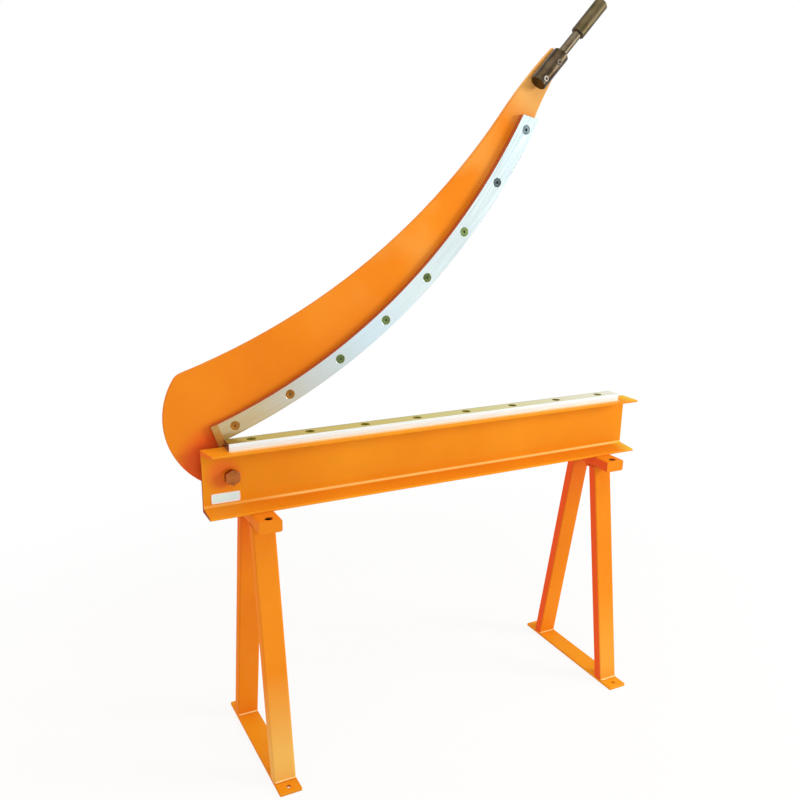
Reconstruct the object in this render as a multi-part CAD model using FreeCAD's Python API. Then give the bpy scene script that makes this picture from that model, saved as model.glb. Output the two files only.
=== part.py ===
import FreeCAD, Part
import math
import os

# Guillotine shear. A long arm with a curved blade turns on one bolt behind a channel bed, and
# its edge passes the straight blade on top of the bed. The bed stands on two A-shaped stands.
# X runs along the straight blade, Y from the front to the back, Z up. The origin is on the
# floor, midway between the four anchor holes of the feet.

V = FreeCAD.Vector
ORIGIN = V(0, 0, 0)
ALONG = V(1, 0, 0)
BACK = V(0, 1, 0)
UP = V(0, 0, 1)

# Straight blade
cutting_length = 1000.0
blade_middle = -5.0
lower_blade_depth = 36.0
lower_blade_height = 16.0
lower_screw_inset = 52.0
blade_screw_count = 8

# Bed, a rolled channel with tapered flanges and its web to the rear
shear_plane_y = 5.0
bed_left_overhang = 50.0
bed_right_overhang = 46.0
bed_height = 134.0
bed_flange_depth = 57.0
bed_web = 6.0
flange_tip = 5.0
flange_slope = 0.10
root_radius = 6.0
tip_radius = 3.0
bed_edge_radius = 1.2
flange_cut_back = 9.5

# Stands
stand_spacing = 890.0
stand_height = 592.5
foot_length = 366.0
foot_width = 50.0
foot_thickness = 6.0
foot_corner = 3.0
foot_edge = 1.0
anchor_hole_radius = 5.0
anchor_inset = 18.0
leg_width = 50.0
leg_depth = 25.0
leg_wall = 2.5
leg_corner = 4.0
leg_spread_top = 106.0
leg_spread_foot = 290.0
bar_length = 190.0
bar_width = 50.0
bar_height = 27.0
bar_wall = 3.0
bar_corner = 4.5
end_plate = 3.0
bar_hole_radius = 9.0
bar_hole_inset = 11.0
bed_bolt_spacing = 24.0

# Arm, drawn closed and from the pivot, then raised to its rest angle
pivot_inset = 10.5
pivot_drop = 78.0
arm_raise = 42.5
blade_clearance = 0.3
arm_thickness = 10.0
arm_edge = 0.8
hub_radius = 33.4
hub_flank_angle = 78.0
shoulder_radius = 158.4
shoulder_angle = 32.45
shoulder_end_angle = 101.0
shoulder_corner = 30.0
back_bow_ratio = 1.481
neck_back = 52.0
neck_rise = 70.0
tip_radius_top = 1060.0
neck_radius = 500.0
neck_half_width = 33.0
neck_start = 27.6
tip_width = 33.0
tip_overhang = 4.0

# Curved blade
heel_inset = 47.2
heel_overlap = 13.8
toe_overrun = 18.7
toe_overlap = 41.8
toe_flare = 11.0
edge_bow_ratio = 1.341
upper_blade_width = 40.5
upper_blade_thickness = 14.0
arm_setback = 4.0
heel_width = 37.5
toe_width = 41.5
heel_end = 6.5
heel_bevel_length = 15.0
heel_bevel_depth = 4.0
heel_drop = 14.0
heel_drop_start = 12.0
heel_screw_inset = 39.5
toe_screw_inset = 24.0
upper_screw_line = 19.0

# Handle on the arm's tip
handle_reach = 51.6
handle_rise = 65.9
handle_angle = 5.1
socket_radius = 18.5
socket_length = 84.0
socket_depth = 66.0
socket_flat = 1.0
socket_chamfer = 1.5
rod_radius = 10.5
rod_visible = 58.0
rod_chamfer = 1.0
grip_radius = 15.4
grip_length = 91.0
grip_end = 6.0
grip_chamfer = 2.5
socket_screw_place = 11.5
lock_screw_place = 59.0
socket_screw_seat = 4.0

# Fasteners
blade_screw_radius = 5.0
blade_screw_head = 10.0
blade_screw_sink = 0.1
blade_nut_flats = 17.0
blade_nut_height = 8.0
blade_screw_end = 2.0
thin_nut_height = 5.0
thin_nut_screw_end = 1.2
nut_seat_radius = 11.5
pivot_radius = 10.0
pivot_flats = 30.0
pivot_head_height = 12.5
pivot_washer_radius = 18.5
pivot_washer_thickness = 3.0
pivot_nut_height = 16.0
pivot_lock_nut_height = 10.0
pivot_bolt_end = 4.0
spacer_radius = 20.0
bush_wall = 4.0
bed_bolt_radius = 5.0
bed_bolt_flats = 16.0
bed_bolt_head = 6.5
bed_washer_radius = 10.0
bed_washer_thickness = 2.0
bed_bolt_end = 0.5
bed_bolt_depth = 7.4
handle_screw_radius = 4.0
handle_screw_head_radius = 6.5
handle_screw_head = 5.0
handle_nut_flats = 13.0
handle_nut_height = 6.8
handle_washer_radius = 8.0
handle_washer_thickness = 1.6
handle_screw_end = 1.5

# Clearances
hole_gap = 0.25
thread_gap = 0.05
running_gap = 0.05
face_gap = 0.2
seat_gap = 0.02
rod_gap = 0.2
tool_overrun = 5.0

# Places that follow from the sizes above
bar_bottom = stand_height - bar_height
bed_bottom = stand_height
bed_top = bed_bottom + bed_height
edge_z = bed_top + lower_blade_height
web_front = shear_plane_y - bed_web
flange_front = shear_plane_y - bed_flange_depth
blade_screw_y = shear_plane_y - lower_blade_depth / 2
blade_left = blade_middle - cutting_length / 2
bed_left = blade_left - bed_left_overhang
bed_length = cutting_length + bed_left_overhang + bed_right_overhang
stand_places = {"left": -stand_spacing / 2, "right": stand_spacing / 2}
edge_radius = edge_bow_ratio * cutting_length
back_radius = back_bow_ratio * cutting_length
pivot_x = blade_left + pivot_inset
pivot_z = edge_z - pivot_drop
upper_front = shear_plane_y + blade_clearance
arm_front = upper_front + upper_blade_thickness
arm_rear = arm_front + arm_thickness
socket_axis_y = arm_front - socket_radius + socket_flat


def block(low, high):
    """A box between two corners."""
    size = high - low
    return Part.makeBox(size.x, size.y, size.z, low)


def round_bar(radius, start, end):
    """A solid cylinder from one point to another."""
    return Part.makeCylinder(radius, (end - start).Length, start, end - start)


def chamfered_bar(radius, start, end, chamfer):
    """A cylinder with both end edges chamfered."""
    bar = round_bar(radius, start, end)
    rims = [edge for edge in bar.Edges if isinstance(edge.Curve, Part.Circle)]
    return bar.makeChamfer(chamfer, rims)


def hexagon(flats, start, end, turned=0):
    """A hexagonal prism between two points, its corners along X or turned from there."""
    radius = flats / math.sqrt(3)
    axis = end - start
    first = ALONG
    second = axis.cross(first).normalize()
    corners = []
    for i in range(7):
        turn = math.radians(60 * i + turned)
        corners.append(start + first * (radius * math.cos(turn)) + second * (radius * math.sin(turn)))
    return Part.Face(Part.makePolygon(corners)).extrude(axis)


def chamfered_hexagon(flats, start, end):
    """An upright hexagon with its corners turned back at both ends, as on a large bolt head."""
    corner = flats / math.sqrt(3)
    turned = chamfered_bar(corner, start, end, (corner - flats / 2) * 0.6)
    return hexagon(flats, start, end, 30).common(turned)


def washer(radius, bore, start, end):
    """A flat ring between two points on its axis."""
    return round_bar(radius, start, end).cut(round_bar(bore, start, end))


def countersunk_screw(radius, head, top, end, sink):
    """A countersunk screw whose head lies just under the point top, pointing to end."""
    axis = (end - top).normalize()
    crown = top + axis * sink
    cone = Part.makeCone(head, radius, head - radius, crown, axis)
    return cone.fuse(round_bar(radius, crown, end)).removeSplitter()


def countersink(radius, head, top, depth, axis):
    """The hole and the cone-shaped seat that a countersunk screw needs."""
    bore = radius + hole_gap
    rim = head + hole_gap
    hole = round_bar(bore, top - axis * tool_overrun, top + axis * (depth + tool_overrun))
    return hole.fuse(Part.makeCone(rim, bore, rim - bore, top, axis))


def edges_along(shape, direction):
    """The straight edges of a shape that run in one direction."""
    found = []
    for edge in shape.Edges:
        if isinstance(edge.Curve, Part.Line):
            if abs(edge.tangentAt(edge.FirstParameter).dot(direction)) > 0.999:
                found.append(edge)
    return found


def round_edges(shape, edges, radius):
    """Rounds the edges of a shape that lie where the given edges lie."""
    centres = [edge.CenterOfMass for edge in edges]
    chosen = []
    for edge in shape.Edges:
        if any((edge.CenterOfMass - centre).Length < 0.01 for centre in centres):
            chosen.append(edge)
    return shape.makeFillet(radius, chosen)


def tube(width, depth, wall, corner, length):
    """A rectangular tube that stands on the origin, its corners rounded."""
    outer = block(V(-width / 2, -depth / 2, 0), V(width / 2, depth / 2, length))
    outer = outer.makeFillet(corner, edges_along(outer, UP))
    inner = block(V(wall - width / 2, wall - depth / 2, 0), V(width / 2 - wall, depth / 2 - wall, length))
    inner = inner.makeFillet(max(corner - wall, wall / 4), edges_along(inner, UP))
    return outer.cut(inner)


def write(name, shapes):
    """One file per piece or group of like pieces."""
    shape = shapes[0] if len(shapes) == 1 else Part.makeCompound(shapes)
    for solid in shape.Solids:
        if not solid.isValid():
            raise ValueError(name)
    shape.exportStep("parts/" + name + ".step")


# Bed

def flange_thickness(y):
    """Thickness of the tapered flange at a distance y, tip to root."""
    return flange_tip + flange_slope * (y - flange_front)


def blade_screw_places():
    """X positions of the straight blade's screws."""
    pitch = (cutting_length - 2 * lower_screw_inset) / (blade_screw_count - 1)
    return [blade_left + lower_screw_inset + pitch * i for i in range(blade_screw_count)]


nut_seat_z = bed_top - flange_thickness(blade_screw_y - nut_seat_radius)


def bed_bolt_places(stand_x):
    """X positions of the two bolts that hold the bed on one stand."""
    return [stand_x - bed_bolt_spacing / 2, stand_x + bed_bolt_spacing / 2]


def make_bed_channel():
    """The channel: tapered flanges, round roots and tips, and its holes."""
    root = flange_thickness(web_front)
    outline = [
        (shear_plane_y, bed_bottom),
        (flange_front, bed_bottom),
        (flange_front, bed_bottom + flange_tip),
        (web_front, bed_bottom + root),
        (web_front, bed_top - root),
        (flange_front, bed_top - flange_tip),
        (flange_front, bed_top),
        (shear_plane_y, bed_top),
    ]
    corners = [V(bed_left, y, z) for y, z in outline]
    channel = Part.Face(Part.makePolygon(corners + corners[:1])).extrude(ALONG * bed_length)
    roots = []
    tips = []
    outer = []
    for edge in edges_along(channel, ALONG):
        y = edge.Vertexes[0].Y
        z = edge.Vertexes[0].Z
        inner = bed_bottom + flange_tip / 2 < z < bed_top - flange_tip / 2
        if inner and abs(y - web_front) < bed_web / 2:
            roots.append(edge)
        elif inner:
            tips.append(edge)
        elif abs(y - flange_front) < bed_web / 2:
            outer.append(edge)
    channel = channel.makeFillet(root_radius, roots)
    channel = round_edges(channel, tips, tip_radius)
    channel = round_edges(channel, outer, bed_edge_radius)
    channel = channel.cut(left_flange_end())
    for x in blade_screw_places():
        hole = round_bar(blade_screw_radius + hole_gap, V(x, blade_screw_y, bed_top - bed_height / 2),
                         V(x, blade_screw_y, bed_top + tool_overrun))
        seat = round_bar(nut_seat_radius, V(x, blade_screw_y, bed_top - bed_height / 2),
                         V(x, blade_screw_y, nut_seat_z))
        channel = channel.cut(hole).cut(seat)
    for stand_x in stand_places.values():
        for x in bed_bolt_places(stand_x):
            channel = channel.cut(round_bar(bed_bolt_radius + thread_gap,
                                            V(x, blade_screw_y, bed_bottom - tool_overrun),
                                            V(x, blade_screw_y, bed_bottom + bed_bolt_depth)))
    pivot_hole = round_bar(pivot_radius + hole_gap, V(pivot_x, web_front - tool_overrun, pivot_z),
                           V(pivot_x, shear_plane_y + tool_overrun, pivot_z))
    return channel.cut(pivot_hole)


def left_flange_end():
    """What is cut off the top flange's left end, from nothing at the web to most at its tip."""
    low = bed_top - bed_height / 2
    per_depth = flange_cut_back / (web_front - flange_front)
    corners = [
        V(bed_left - tool_overrun, web_front, low),
        V(bed_left, web_front, low),
        V(bed_left + flange_cut_back + per_depth * tool_overrun, flange_front - tool_overrun, low),
        V(bed_left - tool_overrun, flange_front - tool_overrun, low),
    ]
    wedge = Part.Face(Part.makePolygon(corners + corners[:1]))
    return wedge.extrude(UP * (bed_height / 2 + tool_overrun))


def make_lower_blade():
    """The straight blade, a ground bar with a row of countersunk holes."""
    blade = block(V(blade_left, shear_plane_y - lower_blade_depth, bed_top),
                  V(blade_left + cutting_length, shear_plane_y, edge_z))
    for x in blade_screw_places():
        blade = blade.cut(countersink(blade_screw_radius, blade_screw_head,
                                      V(x, blade_screw_y, edge_z), lower_blade_height, -UP))
    return blade


def make_lower_blade_fasteners():
    """Countersunk screws from above and their thin nuts under the top flange."""
    nut_bottom = nut_seat_z - thin_nut_height
    screws = []
    nuts = []
    for x in blade_screw_places():
        screws.append(countersunk_screw(blade_screw_radius, blade_screw_head,
                                        V(x, blade_screw_y, edge_z),
                                        V(x, blade_screw_y, nut_bottom - thin_nut_screw_end),
                                        blade_screw_sink))
        nut = hexagon(blade_nut_flats, V(x, blade_screw_y, nut_bottom), V(x, blade_screw_y, nut_seat_z))
        nuts.append(nut.cut(round_bar(blade_screw_radius + thread_gap, V(x, blade_screw_y, nut_bottom),
                                      V(x, blade_screw_y, nut_seat_z))))
    return screws, nuts


# Stands

def make_leg(stand_x, side):
    """A leg of rectangular tube, leaning inwards and cut level at both ends."""
    top_y = side * leg_spread_top / 2
    foot_y = side * leg_spread_foot / 2
    rise = bar_bottom - foot_thickness
    tilt = math.atan2(abs(foot_y - top_y), rise)
    length = rise / math.cos(tilt) + 4 * leg_depth
    leg = tube(leg_width, leg_depth, leg_wall, leg_corner, length)
    leg.translate(V(0, -side * leg_depth / 2, -2 * leg_depth))
    leg.rotate(ORIGIN, ALONG, side * math.degrees(tilt))
    leg.translate(V(stand_x, foot_y, foot_thickness))
    reach = leg_spread_foot + leg_depth
    level = block(V(stand_x - leg_width, -reach, foot_thickness), V(stand_x + leg_width, reach, bar_bottom))
    return leg.common(level)


def make_top_bar(stand_x):
    """The bar under the bed: a closed box section with its bolt holes and one open hole in front."""
    bar = tube(bar_width, bar_height, bar_wall, bar_corner, bar_length)
    bar.rotate(ORIGIN, ALONG, -90)
    bar.translate(V(stand_x, -bar_length / 2, stand_height - bar_height / 2))
    middle_z = stand_height - bar_height / 2
    hole_y = -bar_length / 2 + bar_hole_inset
    bar = bar.cut(round_bar(bar_hole_radius, V(stand_x, hole_y, middle_z),
                            V(stand_x, hole_y, stand_height + tool_overrun)))
    for x in bed_bolt_places(stand_x):
        bar = bar.cut(round_bar(bed_bolt_radius + hole_gap, V(x, blade_screw_y, bar_bottom - tool_overrun),
                                V(x, blade_screw_y, stand_height + tool_overrun)))
    return bar


def make_end_plates(stand_x):
    """The plates that close the bar, one at each end, cut to its outline."""
    plates = []
    for y in (-bar_length / 2 - end_plate, bar_length / 2):
        plate = block(V(stand_x - bar_width / 2, y, bar_bottom),
                      V(stand_x + bar_width / 2, y + end_plate, stand_height))
        plates.append(plate.makeFillet(bar_corner, edges_along(plate, BACK)))
    return plates


def make_foot_bar(stand_x):
    """The flat bar on the floor with an anchor hole near each end."""
    foot = block(V(stand_x - foot_width / 2, -foot_length / 2, 0),
                 V(stand_x + foot_width / 2, foot_length / 2, foot_thickness))
    foot = foot.makeFillet(foot_corner, edges_along(foot, UP))
    rim = [edge for edge in foot.Edges if edge.CenterOfMass.z > foot_thickness * 0.99]
    foot = foot.makeChamfer(foot_edge, rim)
    for side in (-1, 1):
        y = side * (foot_length / 2 - anchor_inset)
        foot = foot.cut(round_bar(anchor_hole_radius, V(stand_x, y, -tool_overrun),
                                  V(stand_x, y, foot_thickness + tool_overrun)))
    return foot


def make_bed_bolts(stand_x):
    """Bolts from below through the bar into the bed's bottom flange, with their washers."""
    seat = bar_bottom - bed_washer_thickness
    end = bed_bottom + bed_bolt_depth - bed_bolt_end
    bolts = []
    washers = []
    for x in bed_bolt_places(stand_x):
        head = hexagon(bed_bolt_flats, V(x, blade_screw_y, seat - bed_bolt_head), V(x, blade_screw_y, seat))
        shank = round_bar(bed_bolt_radius, V(x, blade_screw_y, seat - bed_bolt_head), V(x, blade_screw_y, end))
        bolts.append(head.fuse(shank).removeSplitter())
        washers.append(washer(bed_washer_radius, bed_bolt_radius + hole_gap,
                              V(x, blade_screw_y, seat), V(x, blade_screw_y, bar_bottom)))
    return bolts, washers


# Arm: positions x and z are from the pivot, with the arm closed

heel = V(heel_inset - pivot_inset, 0, pivot_drop - heel_overlap)
toe = V(cutting_length + toe_overrun - pivot_inset, 0, pivot_drop - toe_overlap)
handle_start = toe + V(handle_reach, 0, handle_rise)
handle_line = V(math.cos(math.radians(handle_angle)), 0, math.sin(math.radians(handle_angle)))
handle_side = V(-handle_line.z, 0, handle_line.x)


def polar(centre, radius, degrees):
    """A point at an angle on a circle in the arm's plane."""
    turn = math.radians(degrees)
    return centre + V(radius * math.cos(turn), 0, radius * math.sin(turn))


def centre_above(start, end, radius):
    """The centre of the arc from start to end, on the left of that direction."""
    chord = end - start
    side = V(-chord.z, 0, chord.x).normalize()
    return (start + end) * 0.5 + side * math.sqrt(radius ** 2 - (chord.Length / 2) ** 2)


def bow(start, end, radius, side):
    """An arc from start to end of a given radius, bulging to the left (1) or right (-1)."""
    chord = end - start
    across = V(-chord.z, 0, chord.x).normalize() * side
    height = radius - math.sqrt(radius ** 2 - (chord.Length / 2) ** 2)
    return Part.Arc(start, (start + end) * 0.5 + across * height, end).toShape()


def angle_of(centre, point):
    """The polar angle of a point as seen from a centre, in degrees."""
    return math.degrees(math.atan2(point.z - centre.z, point.x - centre.x))


def round_arc(centre, radius, first, last):
    """An arc about a centre between two angles."""
    return Part.Arc(polar(centre, radius, first), polar(centre, radius, (first + last) / 2),
                    polar(centre, radius, last)).toShape()


edge_centre = centre_above(heel, toe, edge_radius)
heel_angle = angle_of(edge_centre, heel)
toe_angle = angle_of(edge_centre, toe)
toe_corner_angle = toe_angle + math.degrees(toe_flare / edge_radius)


def raise_arm(shape):
    """Turns a piece of the closed arm to the rest angle and sets it on the pivot."""
    shape.rotate(ORIGIN, BACK, -arm_raise)
    shape.translate(V(pivot_x, 0, pivot_z))
    return shape


def handle_point(distance, aside):
    """A point beside the handle's axis, counted from the socket's lower end."""
    return handle_start + handle_line * distance + handle_side * aside


def arm_screw_points():
    """Places of the curved blade's screws, evenly spaced on their own arc."""
    radius = edge_radius - upper_screw_line
    first = heel_angle + math.degrees(heel_screw_inset / radius)
    last = toe_angle - math.degrees(toe_screw_inset / radius)
    step = (last - first) / (blade_screw_count - 1)
    return [polar(edge_centre, radius, first + step * i) for i in range(blade_screw_count)]


def first_hit(start, direction, centre, radius):
    """Where a line from outside a circle first meets it."""
    away = start - centre
    along = away.dot(direction)
    return start + direction * (-along - math.sqrt(along ** 2 - away.Length ** 2 + radius ** 2))


def make_arm_plate():
    """The arm: a round shoulder about the hub, a hollow back and a narrow neck under the socket."""
    shoulder_centre = polar(ORIGIN, shoulder_radius - hub_radius, shoulder_angle)
    shoulder = polar(shoulder_centre, shoulder_radius, shoulder_end_angle)
    neck_top = toe + V(-neck_back, 0, neck_rise)
    tip_top = handle_point(socket_length + tip_overhang, tip_width / 2)
    tip_bottom = handle_point(socket_length + tip_overhang, -tip_width / 2)
    neck_bottom = handle_point(neck_start, -neck_half_width)
    lower_radius = edge_radius - arm_setback
    lower_end = polar(edge_centre, lower_radius, toe_corner_angle)
    hub_exit = polar(ORIGIN, hub_radius, hub_flank_angle - 90)
    flank = V(math.cos(math.radians(hub_flank_angle)), 0, math.sin(math.radians(hub_flank_angle)))
    lower_start = first_hit(hub_exit, flank, edge_centre, lower_radius)
    hub_entry_angle = shoulder_angle + 180
    outline = [
        Part.LineSegment(hub_exit, lower_start).toShape(),
        round_arc(edge_centre, lower_radius, angle_of(edge_centre, lower_start), toe_corner_angle),
        bow(lower_end, neck_bottom, neck_radius, 1),
        Part.LineSegment(neck_bottom, tip_bottom).toShape(),
        Part.LineSegment(tip_bottom, tip_top).toShape(),
        bow(tip_top, neck_top, tip_radius_top, -1),
        bow(neck_top, shoulder, back_radius, 1),
        round_arc(shoulder_centre, shoulder_radius, shoulder_end_angle, hub_entry_angle),
        round_arc(ORIGIN, hub_radius, hub_entry_angle, hub_flank_angle + 270),
    ]
    plate = Part.Face(Part.Wire(outline)).extrude(BACK * arm_thickness)
    plate.translate(BACK * arm_front)
    corner = [edge for edge in edges_along(plate, BACK) if (edge.CenterOfMass - shoulder).dot(ALONG) ** 2
              + (edge.CenterOfMass - shoulder).dot(UP) ** 2 < 1]
    plate = plate.makeFillet(shoulder_corner, corner)
    rims = [edge for edge in plate.Edges if abs(edge.CenterOfMass.y - arm_front) < 0.01
            or abs(edge.CenterOfMass.y - arm_rear) < 0.01]
    plate = plate.makeChamfer(arm_edge, rims)
    for point in arm_screw_points():
        plate = plate.cut(across_arm(blade_screw_radius + hole_gap, point))
    for place in (socket_screw_place, lock_screw_place):
        plate = plate.cut(across_arm(handle_screw_radius + hole_gap, handle_point(place, 0)))
    return raise_arm(plate.cut(across_arm(pivot_radius + running_gap + bush_wall + seat_gap, ORIGIN)))


def across_arm(radius, point):
    """A drill through the arm plate at a point."""
    return round_bar(radius, V(point.x, arm_front - tool_overrun, point.z),
                     V(point.x, arm_rear + tool_overrun, point.z))


def along_edge(distance):
    """The angle on the curved edge at a distance from the heel, as seen from its centre."""
    return heel_angle + math.degrees(distance / edge_radius)


def make_upper_blade():
    """The curved blade: its edge a round arc, the heel drawn down past it, the back a flatter arc."""
    end_angle = along_edge(-heel_end)
    drop_angle = along_edge(heel_drop_start)
    heel_back = polar(edge_centre, edge_radius - heel_width, end_angle)
    middle_back = polar(edge_centre, edge_radius - upper_blade_width, (end_angle + toe_angle) / 2)
    toe_back = polar(edge_centre, edge_radius - toe_width, toe_angle)
    heel_tip = polar(edge_centre, edge_radius + heel_drop, end_angle)
    outline = [
        round_arc(edge_centre, edge_radius, drop_angle, toe_corner_angle),
        Part.LineSegment(polar(edge_centre, edge_radius, toe_corner_angle), toe_back).toShape(),
        Part.Arc(toe_back, middle_back, heel_back).toShape(),
        Part.LineSegment(heel_back, heel_tip).toShape(),
        Part.LineSegment(heel_tip, polar(edge_centre, edge_radius, drop_angle)).toShape(),
    ]
    blade = Part.Face(Part.Wire(outline)).extrude(BACK * upper_blade_thickness)
    blade.translate(BACK * upper_front)
    blade = blade.cut(heel_bevel())
    for point in arm_screw_points():
        top = V(point.x, upper_front, point.z)
        blade = blade.cut(countersink(blade_screw_radius, blade_screw_head, top, upper_blade_thickness, BACK))
    return raise_arm(blade)


def heel_bevel():
    """What is ground off the front of the curved blade's heel, so that it enters behind the other."""
    start = polar(edge_centre, edge_radius, along_edge(heel_bevel_length - heel_end))
    down = (start - edge_centre).normalize()
    beyond = V(down.z, 0, -down.x)
    base = start - down * (upper_blade_width + tool_overrun)
    lead = heel_bevel_length * tool_overrun / heel_bevel_depth
    front = upper_front - tool_overrun
    rear = upper_front + heel_bevel_depth + tool_overrun
    reach = heel_bevel_length + lead
    corners = [
        base - beyond * lead + BACK * front,
        base + beyond * reach + BACK * rear,
        base + beyond * reach + BACK * front,
    ]
    wedge = Part.Face(Part.makePolygon(corners + corners[:1]))
    return wedge.extrude(down * (upper_blade_width + heel_drop + 3 * tool_overrun))


def make_upper_blade_fasteners():
    """Countersunk screws through blade and arm, with their nuts behind the arm."""
    nut_end = arm_rear + blade_nut_height
    screws = []
    nuts = []
    for point in arm_screw_points():
        top = V(point.x, upper_front, point.z)
        end = V(point.x, nut_end + blade_screw_end, point.z)
        screws.append(raise_arm(countersunk_screw(blade_screw_radius, blade_screw_head, top, end,
                                                  blade_screw_sink)))
        nuts.append(raise_arm(nut_behind_arm(point, arm_rear, nut_end, blade_nut_flats, blade_screw_radius)))
    return screws, nuts


def nut_behind_arm(point, start_y, end_y, flats, screw_radius):
    """A nut on a screw that comes through the arm."""
    start = V(point.x, start_y, point.z)
    end = V(point.x, end_y, point.z)
    return hexagon(flats, start, end).cut(round_bar(screw_radius + thread_gap, start, end))


# Pivot

def pivot_point(y):
    """A point on the pivot's axis."""
    return V(pivot_x, y, pivot_z)


def make_pivot():
    """The pivot from front to back: bolt, washer, spacer, bush, washer, nut and lock nut."""
    head_seat = web_front - pivot_washer_thickness
    washer_start = arm_rear + face_gap
    nut_start = washer_start + pivot_washer_thickness
    lock_start = nut_start + pivot_nut_height
    lock_end = lock_start + pivot_lock_nut_height
    head = chamfered_hexagon(pivot_flats, pivot_point(head_seat - pivot_head_height), pivot_point(head_seat))
    shank = round_bar(pivot_radius, pivot_point(head_seat - pivot_head_height / 2),
                      pivot_point(lock_end + pivot_bolt_end))
    bore = pivot_radius + hole_gap
    thread = pivot_radius + thread_gap
    nut = chamfered_hexagon(pivot_flats, pivot_point(nut_start), pivot_point(lock_start))
    lock_nut = chamfered_hexagon(pivot_flats, pivot_point(lock_start), pivot_point(lock_end))
    bush_bore = pivot_radius + running_gap
    return {
        "pivot_bolt": head.fuse(shank).removeSplitter(),
        "pivot_front_washer": washer(pivot_washer_radius, bore, pivot_point(head_seat), pivot_point(web_front)),
        "pivot_spacer": washer(spacer_radius, bore, pivot_point(shear_plane_y), pivot_point(arm_front - face_gap)),
        "arm_bush": washer(bush_bore + bush_wall, bush_bore, pivot_point(arm_front), pivot_point(arm_rear)),
        "pivot_rear_washer": washer(pivot_washer_radius, bore, pivot_point(washer_start), pivot_point(nut_start)),
        "pivot_nut": nut.cut(round_bar(thread, pivot_point(nut_start), pivot_point(lock_start))),
        "pivot_lock_nut": lock_nut.cut(round_bar(thread, pivot_point(lock_start), pivot_point(lock_end))),
    }


# Handle: x runs up along its axis from the socket's lower end, y from the axis to the back

def place_handle(shape):
    """Sets a piece of the handle on the arm's tip."""
    shape.rotate(ORIGIN, BACK, -handle_angle)
    shape.translate(handle_start + BACK * socket_axis_y)
    return raise_arm(shape)


def make_handle_socket():
    """The socket: bored from its upper end, flat where it lies on the arm, two screw seats."""
    socket = chamfered_bar(socket_radius, ORIGIN, ALONG * socket_length, socket_chamfer)
    socket = socket.cut(round_bar(rod_radius + rod_gap, ALONG * (socket_length - socket_depth),
                                  ALONG * (socket_length + tool_overrun)))
    socket = socket.cut(block(V(-tool_overrun, socket_radius - socket_flat, -socket_radius),
                              V(socket_length + tool_overrun, 2 * socket_radius, socket_radius)))
    for place in (socket_screw_place, lock_screw_place):
        socket = socket.cut(round_bar(handle_screw_radius + hole_gap, V(place, -2 * socket_radius, 0),
                                      V(place, 2 * socket_radius, 0)))
        socket = socket.cut(round_bar(handle_screw_head_radius + hole_gap, V(place, -2 * socket_radius, 0),
                                      V(place, socket_screw_seat - socket_radius, 0)))
    return place_handle(socket)


def make_handle_screw(place):
    """A cap screw through the socket and the arm."""
    seat = socket_screw_seat - socket_radius
    end = (arm_rear - socket_axis_y) + handle_washer_thickness + handle_nut_height + handle_screw_end
    head = round_bar(handle_screw_head_radius, V(place, seat - handle_screw_head, 0), V(place, seat, 0))
    shank = round_bar(handle_screw_radius, V(place, seat - handle_screw_head / 2, 0), V(place, end, 0))
    return place_handle(head.fuse(shank).removeSplitter())


def make_handle_nuts():
    """Washers and nuts of the two socket screws, behind the arm."""
    nut_start = arm_rear + handle_washer_thickness
    washers = []
    nuts = []
    for place in (socket_screw_place, lock_screw_place):
        point = handle_point(place, 0)
        ring = washer(handle_washer_radius, handle_screw_radius + hole_gap,
                      V(point.x, arm_rear, point.z), V(point.x, nut_start, point.z))
        washers.append(raise_arm(ring))
        nuts.append(raise_arm(nut_behind_arm(point, nut_start, nut_start + handle_nut_height,
                                             handle_nut_flats, handle_screw_radius)))
    return washers, nuts


def make_handle_rod():
    """The round rod, cross-drilled for the lock screw."""
    start = socket_length - socket_depth
    end = socket_length + rod_visible + grip_length - grip_end
    rod = chamfered_bar(rod_radius, ALONG * start, ALONG * end, rod_chamfer)
    hole = round_bar(handle_screw_radius + hole_gap, V(lock_screw_place, -socket_radius, 0),
                     V(lock_screw_place, socket_radius, 0))
    return place_handle(rod.cut(hole))


def make_handle_grip():
    """The thicker grip, bored from below and closed at its upper end."""
    start = socket_length + rod_visible
    grip = chamfered_bar(grip_radius, ALONG * start, ALONG * (start + grip_length), grip_chamfer)
    return place_handle(grip.cut(round_bar(rod_radius + seat_gap, ALONG * (start - tool_overrun),
                                           ALONG * (start + grip_length - grip_end))))


os.makedirs("parts", exist_ok=True)

lower_screws, lower_nuts = make_lower_blade_fasteners()
upper_screws, upper_nuts = make_upper_blade_fasteners()
socket_washers, socket_nuts = make_handle_nuts()

write("bed_channel", [make_bed_channel()])
write("lower_blade", [make_lower_blade()])
write("lower_blade_screws", lower_screws)
write("lower_blade_nuts", lower_nuts)
for stand_name, stand_place in stand_places.items():
    bed_bolts, bed_washers = make_bed_bolts(stand_place)
    write(stand_name + "_top_bar", [make_top_bar(stand_place)])
    write(stand_name + "_bar_end_plates", make_end_plates(stand_place))
    write(stand_name + "_front_leg", [make_leg(stand_place, -1)])
    write(stand_name + "_rear_leg", [make_leg(stand_place, 1)])
    write(stand_name + "_foot_bar", [make_foot_bar(stand_place)])
    write(stand_name + "_bed_bolts", bed_bolts)
    write(stand_name + "_bed_washers", bed_washers)
write("arm_plate", [make_arm_plate()])
write("upper_blade", [make_upper_blade()])
write("upper_blade_screws", upper_screws)
write("upper_blade_nuts", upper_nuts)
for piece_name, piece in make_pivot().items():
    write(piece_name, [piece])
write("handle_socket", [make_handle_socket()])
write("socket_screw", [make_handle_screw(socket_screw_place)])
write("rod_lock_screw", [make_handle_screw(lock_screw_place)])
write("socket_washers", socket_washers)
write("socket_nuts", socket_nuts)
write("handle_rod", [make_handle_rod()])
write("handle_grip", [make_handle_grip()])
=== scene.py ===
import bpy
import bmesh
import math
from mathutils import Matrix, Vector


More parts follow.
